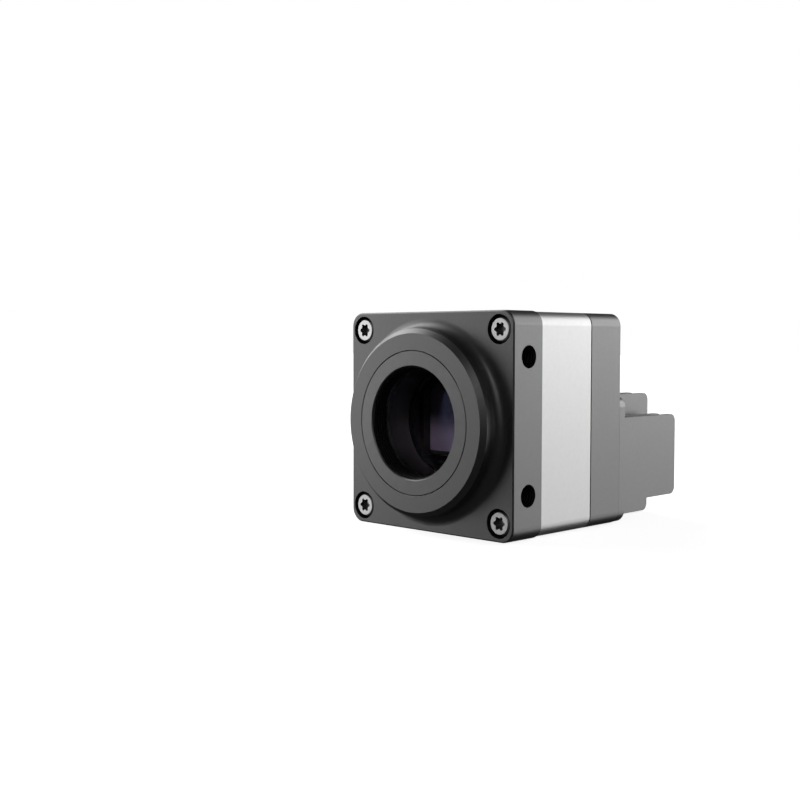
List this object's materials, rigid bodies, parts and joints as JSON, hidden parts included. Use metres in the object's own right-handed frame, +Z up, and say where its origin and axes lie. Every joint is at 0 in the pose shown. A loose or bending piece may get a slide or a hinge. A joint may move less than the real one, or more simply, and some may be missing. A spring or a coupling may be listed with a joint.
{
  "type": "machine vision camera",
  "caption": "Square-bodied machine vision camera with a round threaded lens mount, a pale centre sleeve, a ribbed heat sink, a round socket and two coaxial jacks at the rear.",
  "frame": {"origin": "centre of the lens mount in the face that a lens seats on", "axes": "+Y along the optical axis into the camera, so the lens looks along -Y; +Z up; +X to the right when the camera is seen from the front"},
  "size_m": [0.05, 0.0692, 0.05],
  "materials": {
    "housing_grey": "matt anodised",
    "mount_ring_grey": "turned, anodised",
    "rear_grey": "matt anodised",
    "sink_grey": "matt anodised",
    "sleeve_silver": "bead blasted, clear anodised",
    "seal_rubber": "matt",
    "filter_glass": "polished, coated",
    "black_metal": "matt black",
    "ceramic": "matt",
    "sensor_purple": "glossy",
    "cover_glass": "polished",
    "board_green": "solder resist",
    "black_plastic": "moulded",
    "chip_black": "moulded",
    "thermal_pad": "soft",
    "standoff_brass": "turned",
    "screw_nickel": "nickel plated",
    "jack_gold": "gold plated",
    "insulator_white": "smooth",
    "nut_bright": "polished",
    "socket_bright": "satin chrome",
    "insulator_grey": "moulded",
    "lamp_green": "translucent",
    "lamp_white": "moulded"
  },
  "bodies": {
    "root": {"board_link_front": "black_plastic", "board_link_rear": "black_plastic", "board_screws": "screw_nickel", "board_standoffs": "standoff_brass", "case_screws": "screw_nickel", "centre_housing": "sleeve_silver", "coax_contact_1": "jack_gold", "coax_contact_2": "jack_gold", "coax_insulator_1": "insulator_white", "coax_insulator_2": "insulator_white", "coax_jack_1": "jack_gold", "coax_jack_2": "jack_gold", "coax_nut_1": "nut_bright", "coax_nut_2": "nut_bright", "filter_gasket": "seal_rubber", "filter_glass": "filter_glass", "filter_retaining_ring": "black_metal", "front_housing": "housing_grey", "front_seal": "seal_rubber", "heat_sink": "sink_grey", "heat_sink_pad": "thermal_pad", "heat_sink_screws": "screw_nickel", "interface_board": "board_green", "interface_screws": "screw_nickel", "interface_standoffs": "standoff_brass", "io_socket_contacts": "jack_gold", "io_socket_insulator": "insulator_grey", "io_socket_nut": "socket_bright", "io_socket_seal": "seal_rubber", "io_socket_shell": "socket_bright", "jack_plate": "black_plastic", "lamp_window_1": "lamp_green", "lamp_window_2": "lamp_green", "lamps": "lamp_white", "lens_mount_ring": "mount_ring_grey", "memory_chips": "chip_black", "processor_board": "board_green", "processor_chip": "chip_black", "processor_thermal_pad": "thermal_pad", "rear_housing": "rear_grey", "rear_seal": "seal_rubber", "sensor_board": "board_green", "sensor_cover_glass": "cover_glass", "sensor_die": "sensor_purple", "sensor_package": "ceramic"}
  },
  "joints": []
}
